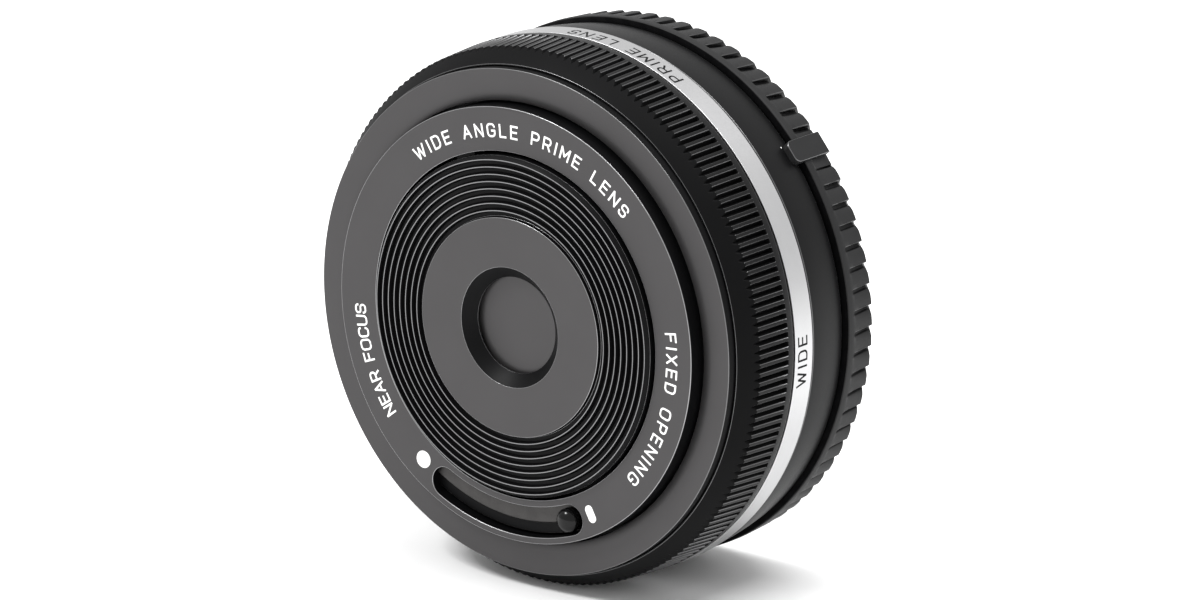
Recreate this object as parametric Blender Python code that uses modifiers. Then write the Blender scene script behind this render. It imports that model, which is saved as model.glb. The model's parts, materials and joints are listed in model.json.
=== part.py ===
"""Pancake prime lens, built-in front cover and rear cap, as an assembly of separate pieces.

Sizes are in millimetres and become metres where a mesh is made. A piece is drawn around its own +Z,
which is the optical axis and points at the subject. The empty "optical_axis" then turns +Z towards
world -Y, so that the lens stands on its rim with its slot at the bottom. A depth is measured back
from the face of the name ring, and an angle runs anticlockwise from +X as seen from the front.
"""

import math

import bmesh
import bpy

MM = 0.001

# Envelope
BARREL_RADIUS = 30.15
PLATE_TOP = -0.83            # the centre plate stands proud of the name ring
CAP_BACK = 27.4              # flat back of the rear cap, where the part's origin is
GAP = 0.3                    # between pieces that touch
OUTER_STEPS = 48
INNER_STEPS = 24
LENS_STEPS = 16
SURFACE_POINTS = 3           # points along one lens surface

# Front plate with its light-trap rings
HOLE_RADIUS = 6.69
THROAT_RADIUS = 5.35
CENTRE_RADIUS = 12.15
FIRST_RIDGE = 12.9
RIDGE_PITCH = 0.8
RIDGE_COUNT = 8
RIDGE_DEPTH = 0.45
PLATE_RADIUS = 18.95
PLATE_BACK = 0.6

# Name ring and the slot that the cover knob runs in
NAME_INNER = 19.3
NAME_OUTER = 24.2
NAME_BACK = 1.55
SKIRT_INNER = 23.55
SKIRT_BACK = 3.2
SLOT_RADIUS = 21.78
SLOT_HALF_WIDTH = 1.7
SLOT_START = -116.6          # centre of the slot's open end, degrees
SLOT_END = -69.4             # centre of the slot's closed end, degrees
KNOB_ANGLE = -70.4
KNOB_RADIUS = 1.35
KNOB_TOP = -0.9
COVER_TURN = 45.0            # travel of the knob, degrees

# Cover blade: it turns BLADE_RATIO times as far as the ring that drives it
BLADE_RATIO = 1.33
PIVOT_RADIUS = 11.3
PIVOT_ANGLE = 90.0
DRIVE_RADIUS = 14.6
DRIVE_ANGLE = PIVOT_ANGLE + COVER_TURN / 2
DRIVE_PIN_RADIUS = 0.5
CAM_HALF_WIDTH = 0.75
CAM_WALL = 0.75
BLADE_RADIUS = 5.9
BLADE_FRONT = 1.0
BLADE_BACK = 1.35
COVER_RING_FRONT = 1.95
COVER_RING_BACK = 2.75

# Cover base, bezel and outer rings
BASE_DISC_RADIUS = 13.3
BASE_DISC_FRONT = 1.65
BASE_FLOOR_FRONT = 3.5
BASE_FLOOR_BACK = 4.1
BASE_RADIUS = 27.3
POST_RADIUS = 0.9
POST_PLACE = 11.5
POST_ANGLES = (-160.0, -90.0, -20.0)
BEZEL_FACE = 1.59
BEZEL_INNER = 24.5
BEZEL_OUTER = 28.05
BEZEL_BACK = 2.3             # back of the bezel's flat, inside its skirt
BEZEL_SKIRT_INNER = 27.0
EDGE_CHAMFER = 0.15
GRIP_INNER = 28.4
GRIP_NOSE_RADIUS = 28.5      # the grip's cone rises from here
GRIP_FRONT = 2.9
GRIP_CREST = 5.15            # and reaches the full radius here
GRIP_BACK = 10.2
BAND_FRONT = 10.5
BAND_BACK = 13.58
BARREL_FRONT = 13.9
BARREL_BACK = 19.75
BARREL_BACK_RADIUS = 29.3
BARREL_RECESS = 27.3

# Main frame
FRAME_RADIUS = 28.1
FRAME_BORE = 26.9
FRAME_FRONT = 4.4
FRAME_WALL_BACK = 5.2
FRAME_BACK = 17.1
FRAME_APERTURE = 7.4
SEAT_FRONT = 17.4            # the ledge inside the rear barrel that the mount is screwed to
SEAT_BACK = 18.45
SEAT_INNER = 22.6
THREAD_HOLE = 0.9            # radius of a hole that a screw bites into
CLEAR_HOLE = 0.95            # radius of a hole that a screw passes through
MOUNT_SCREW_PLACE = 24.6
MOUNT_SCREW_ANGLES = (45.0, 135.0, 225.0, 315.0)
CELL_SCREW_PLACE = 21.0
CELL_SCREW_ANGLES = (65.0, 185.0, 305.0)
BASE_SCREW_PLACE = 25.4
BASE_SCREW_ANGLES = (20.0, 140.0, 260.0)

# Focus carriage, its shafts and its motors
CARRIAGE_FRONT = 10.5
CARRIAGE_BACK = 16.3
CARRIAGE_RADIUS = 7.6
ARM_FRONT = 11.9             # the carriage's arms, and the coils that they hold
ARM_BACK = 14.9
SCALE_FRONT = 11.5
SCALE_BACK = 15.5
SHAFT_PLACE = 13.0
SHAFT_RADIUS = 0.6
SHAFT_ANGLES = {"upper": 20.0, "lower": 200.0}
MOTOR_ANGLES = {"upper": 110.0, "lower": 290.0}
SENSOR_ANGLE = 155.0
CELL_PLATE_FRONT = 16.6
CELL_PLATE_BACK = 17.1
BOARD_FRONT = 17.5
BOARD_BACK = 18.1

# Bayonet mount and rear cap
FLANGE_FACE = 19.95
FLANGE_FRONT = 18.75
FLANGE_RADIUS = 27.0
SPIGOT_OUTER = 21.9
SPIGOT_INNER = 20.5
SPIGOT_BACK = 22.4
CLAW_RADIUS = 22.95
CLAW_FRONT = 21.25
CLAW_ANGLES = (90.0, 210.0, 330.0)
CLAW_HALF_ANGLE = 27.0
CONTACT_ANGLE = 90.0
CONTACT_COUNT = 10
CONTACT_PITCH = 5.6          # degrees
BAFFLE_FRONT = 20.1
BAFFLE_BACK = 20.9
LUG_HALF_ANGLE = 25.0
CAP_FRONT = 20.2
CAP_RADIUS = 29.95
CAP_RIM_BACK = 24.6
CAP_WALL_INNER = 28.4
CAP_CUP_RADIUS = 23.4
TAB_ANGLE = 39.8
TAB_HALF_ANGLE = 2.5
TAB_FRONT = 18.6
TAB_BACK = 24.2
TAB_RADIUS = 30.35

FINISHES = {                 # colour, roughness, metallic
    "anodised_grey": ((0.13, 0.13, 0.135), 0.45, 0.7),
    "anodised_black": ((0.012, 0.012, 0.013), 0.4, 0.3),
    "satin_silver": ((0.75, 0.75, 0.76), 0.3, 1.0),
    "black_plastic": ((0.02, 0.02, 0.021), 0.5, 0.0),
    "cap_plastic": ((0.05, 0.05, 0.05), 0.6, 0.0),
    "gloss_black": ((0.01, 0.01, 0.01), 0.15, 0.0),
    "blade_steel": ((0.09, 0.09, 0.095), 0.4, 0.6),
    "glass": ((0.8, 0.85, 0.9), 0.03, 0.0),
    "steel": ((0.6, 0.6, 0.6), 0.3, 1.0),
    "chrome": ((0.8, 0.8, 0.8), 0.15, 1.0),
    "copper": ((0.7, 0.35, 0.2), 0.35, 1.0),
    "gold": ((0.9, 0.65, 0.25), 0.2, 1.0),
    "board_green": ((0.02, 0.16, 0.07), 0.5, 0.0),
    "flex_amber": ((0.4, 0.17, 0.03), 0.4, 0.0),
}


def clear_scene():
    for item in list(bpy.data.objects):
        bpy.data.objects.remove(item, do_unlink=True)
    for item in list(bpy.data.collections):
        bpy.data.collections.remove(item)


def new_collection(name):
    collection = bpy.data.collections.new(name)
    bpy.context.scene.collection.children.link(collection)
    return collection


def finish(item, kind):
    colour, roughness, metallic = FINISHES[kind]
    material = bpy.data.materials.new(item.name)
    material.use_nodes = True
    shader = material.node_tree.nodes["Principled BSDF"]
    shader.inputs["Base Color"].default_value = (*colour, 1.0)
    shader.inputs["Roughness"].default_value = roughness
    shader.inputs["Metallic"].default_value = metallic
    item.data.materials.append(material)


def polar(radius, angle):
    """Point at a radius and an angle in degrees around the optical axis."""
    turn = math.radians(angle)
    return radius * math.cos(turn), radius * math.sin(turn)


def add_mesh(name, mesh):
    item = bpy.data.objects.new(name, mesh)
    parts.objects.link(item)
    item.parent = axis
    return item


def piece(item, kind):
    """Give a finished piece its material and its smooth shading."""
    finish(item, kind)
    item.data.shade_smooth()
    item.data.set_sharp_from_angle(angle=math.radians(30))
    return item


def turned(name, profile, steps=INNER_STEPS, half_step=False):
    """Turn a profile of (radius, depth) points, drawn front to back down its outer side."""
    closed = profile[0][0] > 0.0
    mesh = bpy.data.meshes.new(name)
    start = math.pi / steps if half_step else 0.0
    points = []
    for radius, depth in profile:
        across = radius * MM
        points.append((across * math.cos(start), across * math.sin(start), (CAP_BACK - depth) * MM))
    edges = [(i, i + 1) for i in range(len(points) - 1)]
    if closed:
        edges.append((len(points) - 1, 0))
    mesh.from_pydata(points, edges, [])
    item = add_mesh(name, mesh)
    screw = item.modifiers.new("turn", "SCREW")
    screw.axis = "Z"
    screw.steps = steps
    screw.render_steps = steps
    screw.use_merge_vertices = True
    screw.merge_threshold = 0.00001
    screw.use_smooth_shade = True
    return item


def prism(name, outline, front, back):
    """Extrude a flat outline of (x, y) points between two depths."""
    shape = bmesh.new()
    corners = [shape.verts.new((x * MM, y * MM, (CAP_BACK - back) * MM)) for x, y in outline]
    bottom = shape.faces.new(corners)
    grown = bmesh.ops.extrude_face_region(shape, geom=[bottom])
    top = [element for element in grown["geom"] if isinstance(element, bmesh.types.BMVert)]
    bmesh.ops.translate(shape, verts=top, vec=(0.0, 0.0, (back - front) * MM))
    bmesh.ops.recalc_face_normals(shape, faces=shape.faces)
    mesh = bpy.data.meshes.new(name)
    shape.to_mesh(mesh)
    shape.free()
    return add_mesh(name, mesh)


def tool(item):
    """Turn an object into a hidden cutter or addition for a Boolean."""
    parts.objects.unlink(item)
    cutters.objects.link(item)
    item.hide_render = True
    item.display_type = "WIRE"
    return item


def combine(item, other, operation):
    modifier = item.modifiers.new(other.name, "BOOLEAN")
    modifier.operation = operation
    modifier.solver = "EXACT"
    modifier.object = tool(other)


def cut(item, other):
    combine(item, other, "DIFFERENCE")


def add(item, other):
    combine(item, other, "UNION")


def circle(radius, centre=(0.0, 0.0), count=8):
    points = []
    for i in range(count):
        x, y = polar(radius, 360.0 * (i + 0.5) / count)
        points.append((centre[0] + x, centre[1] + y))
    return points


def sector(inner, outer, middle, half, count=6):
    """Outline between two radii, on both sides of a middle angle."""
    angles = [middle - half + 2 * half * i / count for i in range(count + 1)]
    return [polar(outer, a) for a in angles] + [polar(inner, a) for a in reversed(angles)]


def block(inner, outer, half_width, angle):
    """Square-cornered outline between two radii, centred on an angle."""
    across = polar(half_width, angle + 90.0)
    near = polar(inner, angle)
    far = polar(outer, angle)
    return [(near[0] - across[0], near[1] - across[1]), (far[0] - across[0], far[1] - across[1]),
            (far[0] + across[0], far[1] + across[1]), (near[0] + across[0], near[1] + across[1])]


def ribbon(path, half_width, cap_points=5):
    """Outline at a constant distance from a path, with round ends."""
    left = []
    right = []
    for i, point in enumerate(path):
        before = path[max(i - 1, 0)]
        after = path[min(i + 1, len(path) - 1)]
        heading = math.atan2(after[1] - before[1], after[0] - before[0])
        offset = (-half_width * math.sin(heading), half_width * math.cos(heading))
        left.append((point[0] + offset[0], point[1] + offset[1]))
        right.append((point[0] - offset[0], point[1] - offset[1]))
    outline = list(right)
    outline += round_end(path[-1], right[-1], cap_points)
    outline += list(reversed(left))
    outline += round_end(path[0], left[0], cap_points)
    return outline


def round_end(centre, start, count):
    """Points of a half turn, anticlockwise from a start point, without its two ends."""
    first = math.atan2(start[1] - centre[1], start[0] - centre[0])
    radius = math.hypot(start[0] - centre[0], start[1] - centre[1])
    points = []
    for i in range(1, count):
        turn = first + math.pi * i / count
        points.append((centre[0] + radius * math.cos(turn), centre[1] + radius * math.sin(turn)))
    return points


def arc_path(radius, start, end, count=12):
    return [polar(radius, start + (end - start) * i / count) for i in range(count + 1)]


def lens(name, radius, edge_front, edge_back, bulge_front, bulge_back):
    """Lens element: each surface is an arc that bulges outwards, or inwards when negative."""
    profile = surface(radius, edge_front, -bulge_front, outwards=True)
    profile += surface(radius, edge_back, bulge_back, outwards=False)
    return piece(turned(name, profile, LENS_STEPS), "glass")


def surface(radius, edge, sag, outwards):
    """Arc from the axis, where it is sag deeper than at its edge, to the edge."""
    bend = (radius * radius + sag * sag) / (2 * abs(sag))
    points = []
    for i in range(SURFACE_POINTS + 1):
        r = radius * i / SURFACE_POINTS
        drop = math.sqrt(bend * bend - r * r) - math.sqrt(bend * bend - radius * radius)
        points.append((r, edge + math.copysign(drop, sag)))
    return points if outwards else list(reversed(points))


def screw_piece(name, place, angle, head, tip, head_radius=1.2, shank_radius=0.6):
    """Screw with its head between two depths and the tip of its shank at a third."""
    centre = polar(place, angle)
    middle = sum(head) / 2
    body = prism(name, circle(head_radius, centre), head[0], head[1])
    add(body, prism(name + "_shank", circle(shank_radius, centre), min(tip, middle), max(tip, middle)))
    return piece(body, "steel")


# Front of the lens

def make_front_plate():
    groove_floor = PLATE_TOP + RIDGE_DEPTH
    throat_lip = 0.2
    profile = [(PLATE_RADIUS, groove_floor), (PLATE_RADIUS, PLATE_BACK),
               (THROAT_RADIUS, PLATE_BACK), (THROAT_RADIUS, PLATE_BACK - throat_lip),
               (HOLE_RADIUS, PLATE_TOP), (CENTRE_RADIUS, PLATE_TOP)]
    for i in range(RIDGE_COUNT):
        ridge = FIRST_RIDGE + RIDGE_PITCH * i
        profile.append((ridge - RIDGE_PITCH / 2, groove_floor))
        profile.append((ridge, PLATE_TOP))
    piece(turned("front_plate", profile, 40), "anodised_grey")


def make_name_ring():
    profile = [(NAME_OUTER, 0.0), (NAME_OUTER, SKIRT_BACK),
               (SKIRT_INNER, SKIRT_BACK), (SKIRT_INNER, NAME_BACK),
               (NAME_INNER, NAME_BACK), (NAME_INNER, 0.0)]
    ring = turned("name_ring", profile, OUTER_STEPS)
    path = arc_path(SLOT_RADIUS, SLOT_START, SLOT_END)
    cut(ring, prism("knob_slot", ribbon(path, SLOT_HALF_WIDTH), -1.0, NAME_BACK + 1.0))
    piece(ring, "anodised_grey")


def make_front_bezel():
    profile = [(BEZEL_OUTER - EDGE_CHAMFER, BEZEL_FACE), (BEZEL_OUTER, BEZEL_FACE + EDGE_CHAMFER),
               (BEZEL_OUTER, SKIRT_BACK), (BEZEL_SKIRT_INNER, SKIRT_BACK),
               (BEZEL_SKIRT_INNER, BEZEL_BACK), (BEZEL_INNER, BEZEL_BACK), (BEZEL_INNER, BEZEL_FACE)]
    piece(turned("front_bezel", profile, OUTER_STEPS), "anodised_grey")


def make_cover_base():
    """Dish under the blade: a raised disc that the blade slides on, and a channel for the ring."""
    disc_back = 2.3
    disc_hole = 5.6
    wall_inner = BASE_DISC_RADIUS - 0.6
    profile = [(BASE_RADIUS, BASE_FLOOR_FRONT), (BASE_RADIUS, BASE_FLOOR_BACK),
               (wall_inner, BASE_FLOOR_BACK), (wall_inner, disc_back),
               (disc_hole, disc_back), (disc_hole, BASE_DISC_FRONT),
               (BASE_DISC_RADIUS, BASE_DISC_FRONT), (BASE_DISC_RADIUS, BASE_FLOOR_FRONT)]
    base = turned("cover_base", profile, OUTER_STEPS)
    for i, angle in enumerate(POST_ANGLES):
        outline = circle(POST_RADIUS, polar(POST_PLACE, angle))
        add(base, prism(f"plate_post_{i + 1}", outline, PLATE_BACK + GAP, BASE_DISC_FRONT + 0.3))
    pivot = circle(THREAD_HOLE, polar(PIVOT_RADIUS, PIVOT_ANGLE))
    cut(base, prism("pivot_hole", pivot, BASE_DISC_FRONT - 0.5, disc_back + 0.9))
    for i, angle in enumerate(BASE_SCREW_ANGLES):
        hole = circle(CLEAR_HOLE, polar(BASE_SCREW_PLACE, angle))
        cut(base, prism(f"base_hole_{i + 1}", hole, BASE_FLOOR_FRONT - 0.5, BASE_FLOOR_BACK + 0.5))
    piece(base, "black_plastic")


def make_cover_ring():
    """Ring under the name ring, with an inward arm that carries the drive pin."""
    outer = 23.2
    inner = 19.9
    profile = [(outer, COVER_RING_FRONT), (outer, COVER_RING_BACK),
               (inner, COVER_RING_BACK), (inner, COVER_RING_FRONT)]
    ring = turned("cover_ring", profile, OUTER_STEPS)
    arm = sector(DRIVE_RADIUS - 0.95, inner + 0.7, DRIVE_ANGLE, 4.0, 3)
    add(ring, prism("drive_arm", arm, COVER_RING_FRONT, COVER_RING_BACK))
    pin = circle(DRIVE_PIN_RADIUS, polar(DRIVE_RADIUS, DRIVE_ANGLE))
    add(ring, prism("drive_pin", pin, PLATE_BACK + 0.2, COVER_RING_FRONT + 0.3))
    piece(ring, "black_plastic")


def make_cover_knob():
    """Domed pin that a finger pushes along the slot."""
    dome = 0.8
    profile = [(0.0, KNOB_TOP)]
    for i in range(1, 4):
        turn = math.radians(90.0 * i / 3)
        profile.append((KNOB_RADIUS * math.sin(turn), KNOB_TOP + dome * (1.0 - math.cos(turn))))
    profile += [(KNOB_RADIUS, COVER_RING_FRONT - GAP), (0.0, COVER_RING_FRONT - GAP)]
    knob = turned("cover_knob", profile, 16)
    x, y = polar(SLOT_RADIUS, KNOB_ANGLE)
    knob.location = (x * MM, y * MM, 0.0)
    piece(knob, "gloss_black")


def cam_path(count=12):
    """Centre line of the blade's slot, in the blade's own axes, for a constant turning ratio."""
    pivot = polar(PIVOT_RADIUS, PIVOT_ANGLE)
    points = []
    for i in range(count + 1):
        ring_turn = COVER_TURN * i / count
        pin = polar(DRIVE_RADIUS, DRIVE_ANGLE - ring_turn)
        away = math.hypot(pin[0] - pivot[0], pin[1] - pivot[1])
        heading = math.degrees(math.atan2(pin[1] - pivot[1], pin[0] - pivot[0]))
        points.append(polar(away, heading + BLADE_RATIO * ring_turn))
    return points


def make_cover_blade():
    """Blade that shuts the front hole. Its origin is on its pivot."""
    pivot = polar(PIVOT_RADIUS, PIVOT_ANGLE)
    head = (-pivot[0], -pivot[1])
    hinge = bpy.data.objects.new("blade_pivot_axis", None)
    parts.objects.link(hinge)
    hinge.parent = axis
    hinge.location = (pivot[0] * MM, pivot[1] * MM, 0.0)
    path = cam_path()
    blade = prism("cover_blade", circle(BLADE_RADIUS, head, 24), BLADE_FRONT, BLADE_BACK)
    neck = ribbon([(0.0, 0.0), head], 2.0)
    tail = ribbon(path, CAM_HALF_WIDTH + CAM_WALL)
    web = ribbon([(0.0, 0.0), path[len(path) // 2]], 1.6)
    additions = [prism("blade_neck", neck, BLADE_FRONT, BLADE_BACK),
                 prism("blade_tail", tail, BLADE_FRONT, BLADE_BACK),
                 prism("blade_web", web, BLADE_FRONT, BLADE_BACK)]
    slot = ribbon(path, CAM_HALF_WIDTH)
    openings = [prism("cam_slot", slot, BLADE_FRONT - 0.5, BLADE_BACK + 0.5),
                prism("blade_hole", circle(THREAD_HOLE), BLADE_FRONT - 0.5, BLADE_BACK + 0.5)]
    for other in additions:
        other.parent = hinge
        add(blade, other)
    for other in openings:
        other.parent = hinge
        cut(blade, other)
    blade.parent = hinge
    piece(blade, "blade_steel")

    rivet = prism("blade_pivot", circle(1.1, pivot), 2.6, 3.0)
    add(rivet, prism("pivot_shank", circle(0.6, pivot), PLATE_BACK + 0.2, 2.7))
    piece(rivet, "steel")


# Outer shells

def make_outer_rings():
    """Grip ring, whose front is a cone, and the silver band behind it."""
    grip = [(GRIP_NOSE_RADIUS, GRIP_FRONT), (BARREL_RADIUS, GRIP_CREST),
            (BARREL_RADIUS, GRIP_BACK), (GRIP_INNER, GRIP_BACK), (GRIP_INNER, GRIP_FRONT)]
    piece(turned("grip_ring", grip, OUTER_STEPS, half_step=True), "anodised_black")
    band = [(BARREL_RADIUS - EDGE_CHAMFER, BAND_FRONT), (BARREL_RADIUS, BAND_FRONT + EDGE_CHAMFER),
            (BARREL_RADIUS, BAND_BACK - EDGE_CHAMFER), (BARREL_RADIUS - EDGE_CHAMFER, BAND_BACK),
            (GRIP_INNER, BAND_BACK), (GRIP_INNER, BAND_FRONT)]
    piece(turned("silver_band", band, OUTER_STEPS, half_step=True), "satin_silver")


def make_rear_barrel():
    """Black rear shell, with an inner ledge that the mount is screwed to."""
    profile = [(CAP_RADIUS, BARREL_FRONT), (BARREL_BACK_RADIUS, BARREL_BACK),
               (BARREL_RECESS, BARREL_BACK), (BARREL_RECESS, SEAT_BACK),
               (SEAT_INNER, SEAT_BACK), (SEAT_INNER, SEAT_FRONT),
               (GRIP_INNER, SEAT_FRONT), (GRIP_INNER, BARREL_FRONT)]
    barrel = turned("rear_barrel", profile, OUTER_STEPS)
    for i, angle in enumerate(MOUNT_SCREW_ANGLES):
        hole = circle(CLEAR_HOLE, polar(MOUNT_SCREW_PLACE, angle))
        cut(barrel, prism(f"seat_hole_{i + 1}", hole, SEAT_FRONT - 0.5, SEAT_BACK + 0.5))
    piece(barrel, "black_plastic")


def make_main_frame():
    """Open drum that carries everything, with pillars for the rear cell and the mount."""
    profile = [(FRAME_RADIUS, FRAME_FRONT), (FRAME_RADIUS, FRAME_BACK), (FRAME_BORE, FRAME_BACK),
               (FRAME_BORE, FRAME_WALL_BACK), (FRAME_APERTURE, FRAME_WALL_BACK),
               (FRAME_APERTURE, FRAME_FRONT)]
    frame = turned("main_frame", profile, OUTER_STEPS)
    pillars = [(MOUNT_SCREW_PLACE, angle, 1.6, FRAME_BACK) for angle in MOUNT_SCREW_ANGLES]
    pillars += [(CELL_SCREW_PLACE, angle, 1.3, CELL_PLATE_FRONT - GAP) for angle in CELL_SCREW_ANGLES]
    for i, (place, angle, radius, top) in enumerate(pillars):
        outline = circle(radius, polar(place, angle))
        add(frame, prism(f"pillar_{i + 1}", outline, FRAME_WALL_BACK - 0.3, top))
    for i, (place, angle, radius, top) in enumerate(pillars):
        hole = circle(THREAD_HOLE, polar(place, angle))
        cut(frame, prism(f"pillar_hole_{i + 1}", hole, top - 2.0, top + 1.0))
    for i, angle in enumerate(BASE_SCREW_ANGLES):
        hole = circle(THREAD_HOLE, polar(BASE_SCREW_PLACE, angle))
        cut(frame, prism(f"wall_hole_{i + 1}", hole, FRAME_FRONT - 0.5, FRAME_WALL_BACK + 0.5))
    piece(frame, "black_plastic")


def make_screws():
    for i, angle in enumerate(BASE_SCREW_ANGLES):
        screw_piece(f"base_screw_{i + 1}", BASE_SCREW_PLACE, angle, (2.65, 3.2), 5.3, 0.9, 0.55)
    for i, angle in enumerate(CELL_SCREW_ANGLES):
        screw_piece(f"cell_screw_{i + 1}", CELL_SCREW_PLACE, angle, (17.4, 17.9), 15.0)
    for i, angle in enumerate(MOUNT_SCREW_ANGLES):
        screw_piece(f"mount_screw_{i + 1}", MOUNT_SCREW_PLACE, angle, (19.3, 19.8), 15.6)


# Optics, front to back

def make_front_group():
    """Fixed front cell with two elements, the rings that space and hold them, and the round stop."""
    bore = 5.1
    seat = 4.8
    cell = [(7.0, 2.65), (7.0, 5.5), (9.6, 5.5), (9.6, 6.2), (6.3, 6.2), (6.3, 8.8),
            (3.6, 8.8), (3.6, 8.25), (bore, 8.25), (bore, 2.65)]
    piece(turned("front_cell", cell), "black_plastic")
    retainer = [(seat, 2.7), (seat, 3.2), (3.8, 3.2), (3.8, 2.7)]
    piece(turned("front_retainer", retainer), "black_plastic")
    lens("lens_element_1", seat, 3.84, 5.74, 0.74, -1.74)
    spacer = [(seat, 6.04), (seat, 6.34), (4.3, 6.34), (4.3, 6.04)]
    piece(turned("front_spacer", spacer), "black_plastic")
    lens("lens_element_2", seat, 6.69, 7.25, 0.99, 0.15)
    stop = [(seat, 7.75), (seat, 7.95), (2.7, 7.95), (2.7, 7.75)]
    piece(turned("aperture_stop", stop), "black_plastic")


def make_focus_group():
    """Stepped tube that slides on two shafts and holds three elements."""
    tube = [(CARRIAGE_RADIUS, CARRIAGE_FRONT), (CARRIAGE_RADIUS, CARRIAGE_BACK),
            (6.8, CARRIAGE_BACK), (6.8, 14.2), (6.0, 14.2), (6.0, 13.0),
            (5.3, 13.0), (5.3, 11.0), (3.9, 11.0), (3.9, CARRIAGE_FRONT)]
    carriage = turned("focus_carriage", tube)
    root = CARRIAGE_RADIUS - 0.6
    for name, angle in SHAFT_ANGLES.items():
        outline = ribbon([polar(8.6, angle), polar(SHAFT_PLACE, angle)], 1.6)
        add(carriage, prism("bush_arm_" + name, outline, ARM_FRONT, ARM_BACK))
    for name, angle in MOTOR_ANGLES.items():
        add(carriage, prism("coil_arm_" + name, block(root, 12.9, 3.0, angle), ARM_FRONT, ARM_BACK))
    pad = block(root, 8.7, 1.0, SENSOR_ANGLE)
    add(carriage, prism("scale_pad", pad, SCALE_FRONT, SCALE_BACK))
    for name, angle in SHAFT_ANGLES.items():
        bush = circle(SHAFT_RADIUS + GAP, polar(SHAFT_PLACE, angle))
        cut(carriage, prism("bush_" + name, bush, ARM_FRONT - 0.9, ARM_BACK + 1.1))
    piece(carriage, "black_plastic")
    lens("lens_element_3", 5.0, 11.3, 12.7, -0.35, -0.45)
    lens("lens_element_4", 5.7, 13.3, 13.9, 0.25, 0.45)
    lens("lens_element_5", 6.4, 14.65, 15.4, -0.12, 0.3)
    retainer = [(6.5, 15.75), (6.5, 16.1), (5.4, 16.1), (5.4, 15.75)]
    piece(turned("carriage_retainer", retainer), "black_plastic")
    scale = block(9.0, 9.7, 1.0, SENSOR_ANGLE)
    piece(prism("position_scale", scale, SCALE_FRONT, SCALE_BACK), "steel")


def make_rear_group():
    """Fixed rear cell, a plate with a tube, which holds the last element."""
    plate = 22.4
    cell = [(plate, CELL_PLATE_FRONT), (plate, CELL_PLATE_BACK), (10.8, CELL_PLATE_BACK), (10.8, 19.7),
            (9.9, 19.7), (9.9, 17.3), (8.6, 17.3), (8.6, CELL_PLATE_FRONT)]
    rear_cell = turned("rear_cell", cell)
    for i, angle in enumerate(CELL_SCREW_ANGLES):
        hole = circle(THREAD_HOLE, polar(CELL_SCREW_PLACE, angle))
        cut(rear_cell, prism(f"cell_hole_{i + 1}", hole, CELL_PLATE_FRONT - 0.5, CELL_PLATE_BACK + 0.5))
    piece(rear_cell, "black_plastic")
    lens("lens_element_6", 9.6, 17.6, 18.7, -0.6, 0.4)
    retainer = [(9.6, 19.1), (9.6, 19.6), (8.6, 19.6), (8.6, 19.1)]
    piece(turned("rear_retainer", retainer), "black_plastic")


# Focus drive and electronics

def make_focus_drive():
    shaft_front = FRAME_WALL_BACK + GAP
    shaft_back = CELL_PLATE_FRONT - GAP
    for name, angle in SHAFT_ANGLES.items():
        outline = circle(SHAFT_RADIUS, polar(SHAFT_PLACE, angle))
        piece(prism("guide_shaft_" + name, outline, shaft_front, shaft_back), "chrome")
    for name, angle in MOTOR_ANGLES.items():
        yoke = prism("motor_yoke_" + name, block(14.6, 20.0, 3.5, angle), 5.6, 16.2)
        cut(yoke, prism("yoke_window_" + name, block(15.6, 19.0, 5.0, angle), 6.4, 15.4))
        piece(yoke, "steel")
        piece(prism("motor_magnet_" + name, block(17.5, 18.7, 3.5, angle), 7.2, 15.1), "chrome")
        coil = prism("motor_coil_" + name, block(13.2, 17.0, 5.2, angle), ARM_FRONT, ARM_BACK)
        core = block(14.1, 16.1, 4.0, angle)
        cut(coil, prism("coil_core_" + name, core, ARM_FRONT - 0.9, ARM_BACK + 1.1))
        piece(coil, "copper")
    piece(prism("position_sensor", block(10.3, 11.1, 1.8, SENSOR_ANGLE), 11.0, 16.3), "flex_amber")


def make_electronics():
    """Ring-shaped board with its chips, and the row of contacts for the camera."""
    outer = 22.2
    inner = 11.3
    outline = [(outer, BOARD_FRONT), (outer, BOARD_BACK), (inner, BOARD_BACK), (inner, BOARD_FRONT)]
    board = turned("main_board", outline)
    for i, (angle, half_width) in enumerate(((20.0, 2.5), (150.0, 2.0), (250.0, 3.0))):
        chip = block(14.0, 18.5, half_width, angle)
        add(board, prism(f"chip_{i + 1}", chip, BOARD_BACK - 0.1, BOARD_BACK + 0.7))
    for i, angle in enumerate(CELL_SCREW_ANGLES):
        notch = circle(1.8, polar(CELL_SCREW_PLACE, angle))
        cut(board, prism(f"board_notch_{i + 1}", notch, BOARD_FRONT - 0.5, BOARD_BACK + 0.9))
    piece(board, "board_green")
    piece(prism("contact_flex", block(18.0, 18.3, 2.5, CONTACT_ANGLE), 18.4, 20.9), "flex_amber")
    holder = sector(16.9, 19.1, CONTACT_ANGLE, 30.0, 10)
    piece(prism("contact_block", holder, 21.2, 22.3), "black_plastic")
    pins_front = 22.6
    pins_back = 22.85
    contacts = prism("contact_pins", sector(17.3, 17.6, CONTACT_ANGLE, 27.0, 18), pins_front, pins_back)
    first = CONTACT_ANGLE - CONTACT_PITCH * (CONTACT_COUNT - 1) / 2
    for i in range(CONTACT_COUNT):
        finger = block(17.4, 18.7, 0.35, first + CONTACT_PITCH * i)
        add(contacts, prism(f"contact_{i + 1}", finger, pins_front, pins_back))
    piece(contacts, "gold")


# Mount and rear cap

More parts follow.
